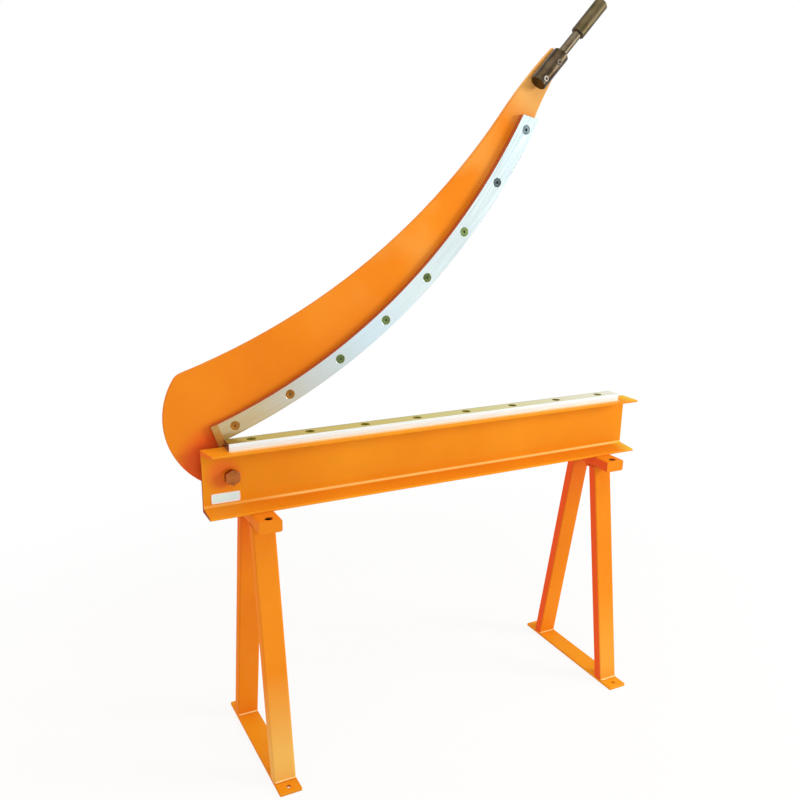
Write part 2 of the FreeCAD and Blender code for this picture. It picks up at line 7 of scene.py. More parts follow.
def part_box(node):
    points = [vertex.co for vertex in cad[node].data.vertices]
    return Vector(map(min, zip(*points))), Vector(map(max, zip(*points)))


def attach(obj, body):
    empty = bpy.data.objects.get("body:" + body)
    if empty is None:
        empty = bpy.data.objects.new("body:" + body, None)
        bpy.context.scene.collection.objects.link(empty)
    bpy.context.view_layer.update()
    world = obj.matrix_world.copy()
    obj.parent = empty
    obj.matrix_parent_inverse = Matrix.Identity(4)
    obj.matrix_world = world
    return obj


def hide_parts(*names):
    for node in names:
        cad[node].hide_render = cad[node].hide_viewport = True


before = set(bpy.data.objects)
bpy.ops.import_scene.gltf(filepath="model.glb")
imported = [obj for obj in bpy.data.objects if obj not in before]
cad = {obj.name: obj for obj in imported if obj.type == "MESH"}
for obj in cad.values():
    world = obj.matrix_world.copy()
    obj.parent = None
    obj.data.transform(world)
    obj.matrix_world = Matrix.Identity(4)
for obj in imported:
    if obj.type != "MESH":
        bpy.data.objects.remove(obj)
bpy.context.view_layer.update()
bpy.ops.object.select_all(action="DESELECT")

# Camera
# It stands in front of the shear, left of its pivot, at chest height, and looks along the bed from the left.
lens = bpy.data.cameras.new("camera")
lens.lens = 38.286
lens.shift_y = 0.0341
camera = bpy.data.objects.new("camera", lens)
bpy.context.scene.collection.objects.link(camera)
camera.location = (-0.9447, -1.6199, 1.2671)
camera.rotation_euler = [math.radians(turn) for turn in (73.3183, -0.8904, -27.1284)]
bpy.context.scene.camera = camera
bpy.context.scene.view_settings.view_transform = "Standard"

# Floor and air around it
# A sheet of white studio paper. Near the feet it keeps the soft shadow, further out it runs into white.


def add(tree, kind, settings=None, **inputs):
    """One node with its settings and the values on its own sockets."""
    made = tree.nodes.new("ShaderNode" + kind)
    for name, value in (settings or {}).items():
        setattr(made, name, value)
    for name, value in inputs.items():
        made.inputs[name.replace("_", " ")].default_value = value
    return made


def seen_or_mirrored(tree):
    """1 for what the camera, a mirror-like metal or glass sees, 0 for the light that falls on the shear."""
    path = add(tree, "LightPath")
    first = add(tree, "Math", {"operation": "MAXIMUM"})
    both = add(tree, "Math", {"operation": "MAXIMUM"})
    tree.links.new(path.outputs["Is Camera Ray"], first.inputs[0])
    tree.links.new(path.outputs["Is Glossy Ray"], first.inputs[1])
    tree.links.new(first.outputs[0], both.inputs[0])
    tree.links.new(path.outputs["Is Transmission Ray"], both.inputs[1])
    return both.outputs[0]


gap_under_feet = 0.0004
bpy.ops.mesh.primitive_plane_add(size=16, location=(0, 0, -gap_under_feet))
floor = bpy.context.object
floor.name = "floor"
paper = bpy.data.materials.new("studio paper")
paper.use_nodes = True
tree = paper.node_tree
tree.nodes.clear()
matt = add(tree, "BsdfDiffuse", Color=(0.86, 0.86, 0.85, 1))
white = add(tree, "Emission", Color=(1, 1, 1, 1), Strength=1.0)
place = add(tree, "TexCoord")
away = add(tree, "VectorMath", {"operation": "LENGTH"})
fade = add(tree, "MapRange", {"interpolation_type": "SMOOTHSTEP"},
           From_Min=0.7, From_Max=1.9, To_Min=0.86, To_Max=1.0)
seen = add(tree, "Math", {"operation": "MULTIPLY"})
blend = add(tree, "MixShader")
out = add(tree, "OutputMaterial")
tree.links.new(place.outputs["Object"], away.inputs[0])
tree.links.new(away.outputs["Value"], fade.inputs["Value"])
tree.links.new(fade.outputs[0], seen.inputs[0])
tree.links.new(seen_or_mirrored(tree), seen.inputs[1])
tree.links.new(seen.outputs[0], blend.inputs[0])
tree.links.new(matt.outputs[0], blend.inputs[1])
tree.links.new(white.outputs[0], blend.inputs[2])
tree.links.new(blend.outputs[0], out.inputs[0])
floor.data.materials.append(paper)

air = bpy.data.worlds.new("studio")
bpy.context.scene.world = air
air.use_nodes = True
tree = air.node_tree
tree.nodes.clear()
soft = add(tree, "Background", Color=(1, 0.99, 0.97, 1), Strength=0.72)
white = add(tree, "Background", Color=(1, 1, 1, 1), Strength=1.0)
blend = add(tree, "MixShader")
out = add(tree, "OutputWorld")
tree.links.new(seen_or_mirrored(tree), blend.inputs[0])
tree.links.new(soft.outputs[0], blend.inputs[1])
tree.links.new(white.outputs[0], blend.inputs[2])
tree.links.new(blend.outputs[0], out.inputs[0])

# Lamps
# A soft box low on the right gives the highlights, one overhead lights the level faces, and a weak warm one on the
# left keeps the faces turned from the others a deep red-orange.


def soft_box(name, size, power, colour, place, aim):
    """A square lamp at a place, turned to what it lights."""
    lamp = bpy.data.lights.new(name, "AREA")
    lamp.size = size
    lamp.energy = power
    lamp.color = colour
    made = bpy.data.objects.new(name, lamp)
    made.location = place
    made.rotation_euler = (Vector(place) - Vector(aim)).to_track_quat("Z", "Y").to_euler()
    bpy.context.scene.collection.objects.link(made)


soft_box("right lamp", 1.2, 79, (1, 0.99, 0.97), (3.1, -2.1, 1.65), (0, 0, 0.7))
soft_box("top lamp", 2.0, 23, (1, 0.97, 0.88), (0, -0.6, 3.3), (0, 0, 0.6))
soft_box("left lamp", 1.4, 12, (1, 0.30, 0.12), (-2.6, 0.8, 0.9), (0, 0, 0.6))

# Foot bars, legs, cross bars and end plates of the two stands
# Flat bar and rectangular steel tube, welded, ground and sprayed with glossy orange enamel. The enamel is thin on
# the edges, which also carry a painted highlight, and uneven over each face. Painted shade makes it redder high on
# the rear legs and on the right stand's left faces, a painted highlight makes it pale low on the front legs, and the
# feet get a yellower copy of it that paints the light from above on their tops.


def edge_share(tree, radius, sharp):
    """1 on a piece's edges, falling to 0 a radius away from them, and the rounded normal there."""
    rounded = add(tree, "Bevel", {"samples": 4}, Radius=radius)
    flat = add(tree, "NewGeometry")
    same = add(tree, "VectorMath", {"operation": "DOT_PRODUCT"})
    share = add(tree, "MapRange", From_Min=1.0, From_Max=sharp)
    tree.links.new(rounded.outputs[0], same.inputs[0])
    tree.links.new(flat.outputs["Normal"], same.inputs[1])
    tree.links.new(same.outputs["Value"], share.inputs["Value"])
    return share.outputs[0], rounded.outputs[0]


def noise(tree, scale, detail, stretch=(1, 1, 1)):
    """Noise laid in the piece's own place, stretched along its grain."""
    place = add(tree, "TexCoord")
    along = add(tree, "Mapping", {"vector_type": "TEXTURE"}, Scale=stretch)
    made = add(tree, "TexNoise", Scale=scale, Detail=detail)
    tree.links.new(place.outputs["Object"], along.inputs[0])
    tree.links.new(along.outputs[0], made.inputs[0])
    return made.outputs[0]


def shades(tree, value, stops):
    """A colour that runs through the given stops as the value rises."""
    ramp = add(tree, "ValToRGB")
    while len(ramp.color_ramp.elements) < len(stops):
        ramp.color_ramp.elements.new(0.5)
    for element, (position, colour) in zip(ramp.color_ramp.elements, stops):
        element.position = position
        element.color = (*colour, 1)
    tree.links.new(value, ramp.inputs[0])
    return ramp.outputs[0]


def mixed(tree, share, first, second):
    """The first colour, and the second where the share is 1."""
    blend = add(tree, "Mix", {"data_type": "RGBA"})
    tree.links.new(share, blend.inputs[0])
    for socket, colour in ((blend.inputs[6], first), (blend.inputs[7], second)):
        if isinstance(colour, tuple):
            socket.default_value = (*colour, 1)
        else:
            tree.links.new(colour, socket)
    return blend.outputs[2]


def part_of(tree, value, low, high, to_low=0.0, to_high=1.0, clamp=True):
    """A value's range moved to another range, and held at its ends unless clamp is off."""
    moved = add(tree, "MapRange", {"clamp": clamp}, From_Min=low, From_Max=high, To_Min=to_low, To_Max=to_high)
    tree.links.new(value, moved.inputs["Value"])
    return moved.outputs[0]


def times(tree, first, second):
    """Two shares multiplied."""
    product = add(tree, "Math", {"operation": "MULTIPLY"})
    tree.links.new(first, product.inputs[0])
    tree.links.new(second, product.inputs[1])
    return product.outputs[0]


def relief(tree, height, strength, depth, normal):
    """A bumpy normal on top of the rounded one."""
    bump = add(tree, "Bump", Strength=strength, Distance=depth)
    tree.links.new(height, bump.inputs["Height"])
    tree.links.new(normal, bump.inputs["Normal"])
    return bump.outputs[0]


def sprayed_enamel(name, yellow=1.0, ripple=0.12):
    """Glossy orange enamel over steel, uneven like orange peel; paler on the edges, where it is thin and has a
    painted highlight.
    """
    paint = bpy.data.materials.new(name)
    paint.use_nodes = True
    tree = paint.node_tree
    shader = tree.nodes["Principled BSDF"]
    shader.inputs["Specular IOR Level"].default_value = 0.0
    shader.inputs["Coat Weight"].default_value = 0.09
    shader.inputs["Coat Roughness"].default_value = 0.16
    edge, rounded = edge_share(tree, 0.0016, 0.86)
    cloud = noise(tree, 3.1, 4.0)
    speck = noise(tree, 55.0, 3.0)
    coat = shades(tree, cloud, [(0.30, (0.76, 0.212 * yellow, 0.010)), (0.5, (0.82, 0.246 * yellow, 0.012)),
                                (0.72, (0.87, 0.286 * yellow, 0.016))])
    dusted = mixed(tree, part_of(tree, speck, 0.58, 0.78, 0, 0.35), coat, (0.80, 0.27 * yellow, 0.04))
    # Paler on the edges: partly thin enamel in specks, partly a painted highlight.
    thin_and_highlit_edges = times(tree, edge, part_of(tree, speck, 0.35, 0.6))
    tree.links.new(mixed(tree, thin_and_highlit_edges, dusted, (0.98, 0.42, 0.06)), shader.inputs["Base Color"])
    tree.links.new(part_of(tree, cloud, 0.3, 0.7, 0.20, 0.34), shader.inputs["Roughness"])
    skin = noise(tree, 260.0, 2.0)
    tree.links.new(relief(tree, skin, ripple, 0.0006, rounded), shader.inputs["Normal"])
    return paint


def spot(tree):
    """A point's place on its piece and its face's direction, each split in X, Y and Z."""
    place = add(tree, "TexCoord")
    halves = []
    for value in (place.outputs["Object"], place.outputs["Normal"]):
        split = add(tree, "SeparateXYZ")
        tree.links.new(value, split.inputs[0])
        halves.append(split.outputs)
    return halves


def away_from(tree, point):
    """How far a place on the piece lies from a point."""
    place = add(tree, "TexCoord")
    gap = add(tree, "VectorMath", {"operation": "DISTANCE"})
    gap.inputs[1].default_value = point
    tree.links.new(place.outputs["Object"], gap.inputs[0])
    return gap.outputs["Value"]


def over(paint, share, colour):
    """Lays another colour over a finished paint where the share is 1."""
    tree = paint.node_tree
    base = tree.nodes["Principled BSDF"].inputs["Base Color"]
    tree.links.new(mixed(tree, share, base.links[0].from_socket, colour), base)


def finish_node(node, material):
    """Gives a carried-over solid its material."""
    cad[node].data.materials.clear()
    cad[node].data.materials.append(material)


stand_enamel = sprayed_enamel("orange enamel on the stands")
# The feet get a yellower copy of the enamel, painted light from above on their tops.
foot_enamel_painted_lighter = sprayed_enamel("orange enamel on the feet", yellow=1.2)
tree = stand_enamel.node_tree
(along, deep, up), (facing_x, facing_y, facing_z) = spot(tree)
on_rear_legs = part_of(tree, deep, 0.0, 0.03)
# Painted shade: redder high on the rear legs, under the bed.
over(stand_enamel, times(tree, on_rear_legs, part_of(tree, up, 0.40, 0.57, 0.0, 0.75)), (0.72, 0.135, 0.02))
# Painted highlight: paler low on the front legs, most on the left stand.
at_front_foot = times(tree, part_of(tree, deep, -0.09, -0.11), part_of(tree, up, 0.25, 0.07))
most_on_left = part_of(tree, along, -0.1, 0.1, 0.78, 0.2)
over(stand_enamel, times(tree, at_front_foot, most_on_left), (0.84, 0.52, 0.12))
on_right_stand = part_of(tree, along, -0.1, 0.1)
# Painted shade: the right stand's faces turned left are a deep red-orange.
shaded_left_faces = part_of(tree, facing_x, -0.7, -0.95)
over(stand_enamel, times(tree, shaded_left_faces, on_right_stand), (0.82, 0.105, 0.018))
for side in ("left", "right"):
    for piece in ("front_leg", "rear_leg", "top_bar", "bar_end_plates"):
        finish_node(side + "_" + piece, stand_enamel)
    finish_node(side + "_foot_bar", foot_enamel_painted_lighter)

# Weld beads
# A fillet weld runs round each leg where it meets the foot bar and the cross bar, painted over with the stand.
# Its faces turned up and to the front carry a painted highlight.


def choose(piece, kind, test):
    """Selects the faces or edges of the piece being edited that pass a test of their middle and normal."""
    mesh = bmesh.from_edit_mesh(piece.data)
    bpy.ops.mesh.select_all(action="DESELECT")
    if kind == "faces":
        for face in mesh.faces:
            face.select_set(test(face.calc_center_median(), face.normal))
    else:
        for edge in mesh.edges:
            ends = [corner.co for corner in edge.verts]
            edge.select_set(test((ends[0] + ends[1]) / 2, (ends[1] - ends[0]).normalized()))
    bmesh.update_edit_mesh(piece.data)


def weld_round_leg(name, leg, at_foot):
    """A rounded, rippled bead about the cut end of a leg."""
    leg_depth = 0.025
    foot_reach = 0.145
    head_reach = 0.053
    bead_length = 0.0496
    bead_width = 0.0037
    bead_height = 0.0036
    low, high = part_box(leg)
    outside = 1 if high.y > -low.y else -1
    rise = high.z - low.z
    cut = leg_depth * math.hypot(rise, foot_reach - head_reach) / rise
    reach = foot_reach if at_foot else head_reach
    middle = Vector(((low.x + high.x) / 2, outside * (reach - cut / 2), low.z if at_foot else high.z))
    up = 1 if at_foot else -1
    bpy.ops.object.select_all(action="DESELECT")
    bpy.ops.mesh.primitive_cube_add(size=1, location=middle + Vector((0, 0, up * bead_height / 2)))
    bead = bpy.context.object
    bead.name = name
    bead.scale = (bead_length, cut + 2 * bead_width, bead_height)
    bpy.ops.object.transform_apply(location=True, rotation=False, scale=True)
    bpy.ops.object.mode_set(mode="EDIT")
    choose(bead, "edges", lambda point, way: abs(way.z) > 0.9)
    bpy.ops.mesh.bevel(offset=0.004, segments=3)
    choose(bead, "edges", lambda point, way: (point.z - middle.z) * up > bead_height * 0.9)
    bpy.ops.mesh.bevel(offset=0.0031, segments=4)
    bpy.ops.mesh.select_all(action="SELECT")
    bpy.ops.mesh.subdivide(number_cuts=8)
    bpy.ops.object.mode_set(mode="OBJECT")
    wavy = bead.modifiers.new("drops", "DISPLACE")
    wavy.texture = drops
    wavy.strength = 0.0012
    wavy.mid_level = 0.62
    bpy.ops.object.modifier_apply(modifier="drops")
    bpy.ops.object.shade_smooth()
    bead.data.materials.append(weld_enamel)
    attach(bead, "bed")


drops = bpy.data.textures.new("weld drops", "CLOUDS")
drops.noise_scale = 0.0042
weld_enamel = sprayed_enamel("enamel on welds", ripple=0.4)
tree = weld_enamel.node_tree
(along, deep, up), (facing_x, facing_y, facing_z) = spot(tree)
# Painted highlight on the bead's faces turned up and to the front.
painted_weld_highlight = times(tree, part_of(tree, facing_z, 0.2, 0.7), part_of(tree, facing_y, 0.2, -0.2))
over(weld_enamel, painted_weld_highlight, (0.98, 0.66, 0.26))
bpy.context.tool_settings.mesh_select_mode = (False, True, False)
for side in ("left", "right"):
    for leg in ("front_leg", "rear_leg"):
        weld_round_leg(side + "_" + leg + "_foot_weld", side + "_" + leg, True)
        weld_round_leg(side + "_" + leg + "_head_weld", side + "_" + leg, False)

# Bed
# A rolled steel channel with its web upright at the rear, drilled for blade and pivot, in the same enamel. It
# carries a painted highlight along the root of the lower flange and before the blade, painted light on its upward
# faces at the right end, and painted shade on its faces turned left, at its left end and about the pivot bolt.
low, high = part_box("bed_channel")
bed_enamel = sprayed_enamel("orange enamel on the bed", yellow=1.14)
tree = bed_enamel.node_tree
(along, deep, up), (facing_x, facing_y, facing_z) = spot(tree)
shaded_left_faces = part_of(tree, facing_x, -0.7, -0.95)
# Painted shade: faces turned left are redder, darkest on the left end below the top flange.
over(bed_enamel, shaded_left_faces, (0.80, 0.20, 0.03))
below_flange = part_of(tree, up, high.z - 0.022, high.z - 0.034)
over(bed_enamel, times(tree, shaded_left_faces, below_flange), (0.30, 0.07, 0.02))
# Painted highlight along the root of the lower flange, where the fillet would catch the lamp.
root_height = times(tree, part_of(tree, up, low.z + 0.0155, low.z + 0.0135),
                    part_of(tree, up, low.z + 0.0085, low.z + 0.0105))
near_web = times(tree, part_of(tree, deep, -0.0075, -0.0055), part_of(tree, facing_z, 0.2, 0.4))
painted_root_highlight = times(tree, root_height, near_web)
over(bed_enamel, times(tree, painted_root_highlight, part_of(tree, along, -0.44, -0.36, 0.4, 1.0)), (1.0, 0.60, 0.17))
# Painted light: faces turned up at the right end are yellower.
painted_light_at_right_end = times(tree, part_of(tree, facing_z, 0.3, 0.7), part_of(tree, along, 0.500, 0.536))
over(bed_enamel, painted_light_at_right_end, (0.80, 0.50, 0.04))
# Painted highlight: a pale band on the flange top in front of the blade, along its length.
painted_highlight_before_blade = times(tree, part_of(tree, deep, -0.044, -0.036), part_of(tree, up, high.z - 0.002, high.z - 0.001))
beside_blade = times(tree, part_of(tree, along, -0.508, -0.500), part_of(tree, along, 0.498, 0.492, 0.0, 0.6))
over(bed_enamel, times(tree, painted_highlight_before_blade, beside_blade), (1.0, 0.70, 0.38))
# Painted shadow: a red zone on the web about the pivot bolt's head.
beside_bolt = (-0.512, -0.001, 0.6700)
painted_bolt_shadow = times(tree, part_of(tree, facing_y, -0.7, -0.9), part_of(tree, away_from(tree, beside_bolt), 0.042, 0.018))
over(bed_enamel, part_of(tree, painted_bolt_shadow, 0.0, 1.0, 0.0, 0.65), (0.82, 0.125, 0.03))
finish_node("bed_channel", bed_enamel)

# Bolts under the bed
# Hexagon bolts with washers, screwed up through the cross bars into the bed's lower flange and painted over there.
for side in ("left", "right"):
    finish_node(side + "_bed_bolts", stand_enamel)
    finish_node(side + "_bed_washers", stand_enamel)

# Straight blade
# A bar of tool steel, surface ground along its length, so fine scratches run from end to end.


def round_scratches(tree, centre):
    """Fine noise drawn out along circles about a point in the arm's plane."""
    across = 830
    along_circle = 16
    place = add(tree, "TexCoord")
    away = add(tree, "VectorMath", {"operation": "SUBTRACT"})
    away.inputs[1].default_value = centre
    split = add(tree, "SeparateXYZ")
    flat = add(tree, "CombineXYZ")
    reach = add(tree, "VectorMath", {"operation": "LENGTH"})
    angle = add(tree, "Math", {"operation": "ARCTAN2"})
    drawn = add(tree, "CombineXYZ")
    made = add(tree, "TexNoise", Scale=1.0, Detail=3.0)
    tree.links.new(place.outputs["Object"], away.inputs[0])
    tree.links.new(away.outputs[0], split.inputs[0])
    tree.links.new(split.outputs["X"], flat.inputs["X"])
    tree.links.new(split.outputs["Z"], flat.inputs["Z"])
    tree.links.new(flat.outputs[0], reach.inputs[0])
    tree.links.new(split.outputs["Z"], angle.inputs[0])
    tree.links.new(split.outputs["X"], angle.inputs[1])
    tree.links.new(part_of(tree, reach.outputs["Value"], 0, 1, 0, across, False), drawn.inputs["X"])
    tree.links.new(part_of(tree, angle.outputs[0], 0, 1, 0, along_circle, False), drawn.inputs["Y"])
    tree.links.new(part_of(tree, split.outputs["Y"], 0, 1, 0, across, False), drawn.inputs["Z"])
    tree.links.new(drawn.outputs[0], made.inputs[0])
    return made.outputs[0]


def ground_steel(name, centre=None):
    """Ground tool steel, scratched along X or along circles about a point; returns what is still to be tinted."""
    steel = bpy.data.materials.new(name)
    steel.use_nodes = True
    tree = steel.node_tree
    shader = tree.nodes["Principled BSDF"]
    rounded = edge_share(tree, 0.0008, 0.88)[1]
    scratch = noise(tree, 1.0, 3.0, (0.08, 0.0012, 0.0012)) if centre is None else round_scratches(tree, centre)
    tree.links.new(part_of(tree, scratch, 0.3, 0.7, 0.20, 0.32), shader.inputs["Roughness"])
    tree.links.new(relief(tree, scratch, 0.08, 0.0002, rounded), shader.inputs["Normal"])
    return steel, tree, shader, scratch


straight_steel, tree, shader, scratch = ground_steel("ground steel, straight blade")
(along, deep, up), (facing_x, facing_y, facing_z) = spot(tree)
bright = shades(tree, scratch, [(0.25, (0.76, 0.88, 0.95)), (0.5, (0.83, 0.93, 0.98)), (0.75, (0.90, 0.97, 1.0))])
# Painted reflection and shade on the level top: brown at the left end by the orange arm, blue-white at the right; the
# warm specular tint below serves the same painted reflection.
painted_reflection_tint = shades(tree, part_of(tree, along, -0.5, 0.5),
               [(0.0, (0.45, 0.29, 0.04)), (0.3, (0.54, 0.43, 0.12)), (0.6, (0.59, 0.56, 0.28)),
                (1.0, (0.80, 0.82, 0.86))])
level = part_of(tree, facing_z, 0.4, 0.8)
tree.links.new(part_of(tree, level, 0.0, 1.0, 0.2, 0.95), shader.inputs["Metallic"])
shader.inputs["Specular Tint"].default_value = (1.0, 0.94, 0.68, 1)
painted_reflection_share = times(tree, level, part_of(tree, scratch, 0.2, 0.6, 0.92, 1.0))
both = mixed(tree, painted_reflection_share, bright, painted_reflection_tint)
rear_line = times(tree, times(tree, level, part_of(tree, deep, 0.0014, 0.0022)),
                  part_of(tree, along, -0.4, 0.4, 0.9, 0.35))
lined = mixed(tree, rear_line, both, (0.22, 0.20, 0.12))
# Painted shade on the blade's left end face.
shaded_left_end = part_of(tree, facing_x, -0.6, -0.9)
tree.links.new(mixed(tree, shaded_left_end, lined, (0.17, 0.07, 0.05)), shader.inputs["Base Color"])
finish_node("lower_blade", straight_steel)

# Screws and nuts of the straight blade
# Countersunk hexagon-socket screws, turned olive-brown by oil, flush in the blade, with black nuts under the flange.


def places_of(node):
    """The middles of a node's separate solids, from left to right."""
    bpy.ops.object.select_all(action="DESELECT")
    copy = bpy.data.objects.new("copy", cad[node].data.copy())
    bpy.context.scene.collection.objects.link(copy)
    bpy.context.view_layer.objects.active = copy
    copy.select_set(True)
    bpy.ops.object.mode_set(mode="EDIT")
    bpy.ops.mesh.select_all(action="SELECT")
    bpy.ops.mesh.remove_doubles(threshold=0.00001)
    bpy.ops.mesh.separate(type="LOOSE")
    bpy.ops.object.mode_set(mode="OBJECT")
    middles = []
    for loose in list(bpy.context.selected_objects):
        corners = [Vector(corner) for corner in loose.bound_box]
        middles.append(sum(corners, Vector()) / 8)
        bpy.data.objects.remove(loose)
    return sorted(middles, key=lambda middle: middle.x)


def settle(piece):
    """Puts the piece's place, turn and size into its mesh and makes it the only one selected."""
    bpy.ops.object.select_all(action="DESELECT")
    bpy.context.view_layer.objects.active = piece
    piece.select_set(True)
    bpy.ops.object.transform_apply(location=True, rotation=True, scale=True)


def key_hole(screw, radius, deep):
    """Sinks a hexagon socket into the screw's head, whose top lies at the origin."""
    bpy.ops.mesh.primitive_cylinder_add(vertices=6, radius=radius, depth=2 * deep, location=(0, 0, 0))
    key = bpy.context.object
    sink = screw.modifiers.new("socket", "BOOLEAN")
    sink.operation = "DIFFERENCE"
    sink.object = key
    bpy.ops.object.select_all(action="DESELECT")
    bpy.context.view_layer.objects.active = screw
    screw.select_set(True)
    bpy.ops.object.modifier_apply(modifier="socket")
    bpy.data.objects.remove(key)
    bpy.ops.object.shade_smooth_by_angle(angle=math.radians(35))


def countersunk_screw(name, length):
    """A socket screw with its crown at the origin and its end below it."""
    shank_radius = 0.005
    cone = 0.0047
    land = 0.0003
    shank = length - cone - land
    bpy.ops.object.select_all(action="DESELECT")
    bpy.ops.mesh.primitive_cylinder_add(vertices=48, radius=shank_radius, depth=shank,
                                        location=(0, 0, shank / 2 - length))
    screw = bpy.context.object
    screw.name = name
    settle(screw)
    bpy.ops.object.mode_set(mode="EDIT")
    choose(screw, "faces", lambda point, normal: normal.z > 0.9)
    bpy.ops.mesh.extrude_region_move(TRANSFORM_OT_translate={"value": (0, 0, cone)})
    bpy.ops.transform.resize(value=(1.97, 1.97, 1))
    bpy.ops.mesh.extrude_region_move(TRANSFORM_OT_translate={"value": (0, 0, land)})
    bpy.ops.transform.resize(value=(0.985, 0.985, 1))
    choose(screw, "faces", lambda point, normal: normal.z < -0.9)
    bpy.ops.mesh.inset(thickness=0.0009, depth=0.0009)
    bpy.ops.object.mode_set(mode="OBJECT")
    key_hole(screw, radius=0.0035, deep=0.0038)
    return screw


def plated_steel(name, dark, bright, rough):
    """Plated or blackened steel with worn, brighter edges."""
    plating = bpy.data.materials.new(name)
    plating.use_nodes = True
    tree = plating.node_tree
    shader = tree.nodes["Principled BSDF"]
    shader.inputs["Metallic"].default_value = 1.0
    edge, rounded = edge_share(tree, 0.0007, 0.88)
    cloud = noise(tree, 38.0, 4.0)
    grain = noise(tree, 700.0, 2.0)
    base = shades(tree, cloud, [(0.32, dark), (0.68, bright)])
    worn = tuple(min(1.0, 0.25 + 1.4 * value) for value in bright)
    tree.links.new(mixed(tree, times(tree, edge, part_of(tree, grain, 0.3, 0.6)), base, worn),
                   shader.inputs["Base Color"])
    tree.links.new(part_of(tree, cloud, 0.3, 0.7, rough - 0.08, rough + 0.12), shader.inputs["Roughness"])
    tree.links.new(relief(tree, grain, 0.15, 0.0003, rounded), shader.inputs["Normal"])
    return plating


def like(piece, name, move, material, body, node):
    """A copy of a piece with its own mesh, moved to its place and standing for its CAD solids."""
    made = bpy.data.objects.new(name, piece.data.copy())
    bpy.context.scene.collection.objects.link(made)
    made.data.transform(move)
    made.data.materials.clear()
    made.data.materials.append(material)
    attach(made, body)
    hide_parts(node)
    return made


blackened = plated_steel("blackened steel", (0.030, 0.024, 0.017), (0.10, 0.078, 0.055), 0.24)
olive_steel = plated_steel("olive-brown steel", (0.07, 0.062, 0.018), (0.20, 0.18, 0.06), 0.34)
olive_steel.node_tree.nodes["Principled BSDF"].inputs["Specular Tint"].default_value = (0.75, 0.62, 0.25, 1)
low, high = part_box("lower_blade_screws")
short_screw = countersunk_screw("short_screw", high.z - low.z)
for number, middle in enumerate(places_of("lower_blade_screws"), 1):
    like(short_screw, f"lower_blade_screw_{number}", Matrix.Translation((middle.x, middle.y, high.z)), olive_steel,
         "bed", "lower_blade_screws")
bpy.data.objects.remove(short_screw)
finish_node("lower_blade_nuts", blackened)

# Blank plate
# A thin bare plate with a raised rim, stuck on the web under the pivot; it carries no words.
web_front = -0.001
plate_middle = (-0.5077, 0, 0.6192)
plate_size = (0.0606, 0.001, 0.0216)
bpy.ops.object.select_all(action="DESELECT")
bpy.ops.mesh.primitive_cube_add(size=1, location=(plate_middle[0], web_front - plate_size[1] / 2, plate_middle[2]))
plate = bpy.context.object
plate.name = "blank_plate"
plate.scale = plate_size
settle(plate)
bpy.ops.object.mode_set(mode="EDIT")
choose(plate, "edges", lambda point, way: abs(way.y) > 0.9)
bpy.ops.mesh.bevel(offset=0.0032, segments=5)
choose(plate, "faces", lambda point, normal: normal.y < -0.9)
bpy.ops.mesh.inset(thickness=0.0020, depth=0)
bpy.ops.mesh.inset(thickness=0.0005, depth=-0.0004)
bpy.ops.object.mode_set(mode="OBJECT")
bare = bpy.data.materials.new("bare plate")
bare.use_nodes = True
tree = bare.node_tree
shader = tree.nodes["Principled BSDF"]
shader.inputs["Metallic"].default_value = 0.0
cloud = noise(tree, 60.0, 3.0)
place = add(tree, "TexCoord")
from_middle = add(tree, "VectorMath", {"operation": "SUBTRACT"})
from_middle.inputs[1].default_value = plate_middle
either_way = add(tree, "VectorMath", {"operation": "ABSOLUTE"})
split = add(tree, "SeparateXYZ")
rim = add(tree, "Math", {"operation": "MAXIMUM"})
tree.links.new(place.outputs["Object"], from_middle.inputs[0])
tree.links.new(from_middle.outputs[0], either_way.inputs[0])
tree.links.new(either_way.outputs[0], split.inputs[0])
tree.links.new(part_of(tree, split.outputs["X"], 0.0272, 0.0280), rim.inputs[0])
tree.links.new(part_of(tree, split.outputs["Z"], 0.0077, 0.0085), rim.inputs[1])
face = shades(tree, cloud, [(0.3, (0.66, 0.93, 0.97)), (0.7, (0.74, 0.99, 1.0))])
tree.links.new(mixed(tree, rim.outputs[0], face, (0.90, 0.92, 0.92)), shader.inputs["Base Color"])
tree.links.new(part_of(tree, cloud, 0.3, 0.7, 0.28, 0.4), shader.inputs["Roughness"])
plate.data.materials.append(bare)
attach(plate, "bed")

# Pivot
# One thick bolt with a washer under its head carries the arm; spacer, washer, nut and lock nut sit behind the web.
# The bolt's orange-brown is a painted reflection of the orange web around it.
finish_node("pivot_bolt", plated_steel("browned pivot steel", (0.22, 0.058, 0.014), (0.46, 0.145, 0.036), 0.30))
finish_node("pivot_front_washer", sprayed_enamel("orange enamel"))
for piece in ("pivot_spacer", "pivot_rear_washer", "pivot_nut", "pivot_lock_nut"):
    finish_node(piece, blackened)

# Arm
# The arm is flame-cut from thick plate, its edges dressed, and sprayed with the same enamel; a bronze bush turns on
# the pivot.
arm_enamel = sprayed_enamel("orange enamel on the arm", yellow=0.94)
tree = arm_enamel.node_tree
pivot = (-0.4945, 0.0123, 0.6645)
reach = away_from(tree, pivot)
# Painted sheen: paler tan patches over the outer part of the arm.
sheen_patches = part_of(tree, noise(tree, 6.5, 2.0), 0.45, 0.65)
over(arm_enamel, times(tree, sheen_patches, part_of(tree, reach, 0.3, 0.7, 0.0, 0.55)), (0.82, 0.36, 0.07))
# Painted reflection: the enamel pales at the arm's tip.
over(arm_enamel, part_of(tree, reach, 0.96, 1.03, 0.0, 0.85), (0.79, 0.42, 0.12))
(along, deep, up), (facing_x, facing_y, facing_z) = spot(tree)
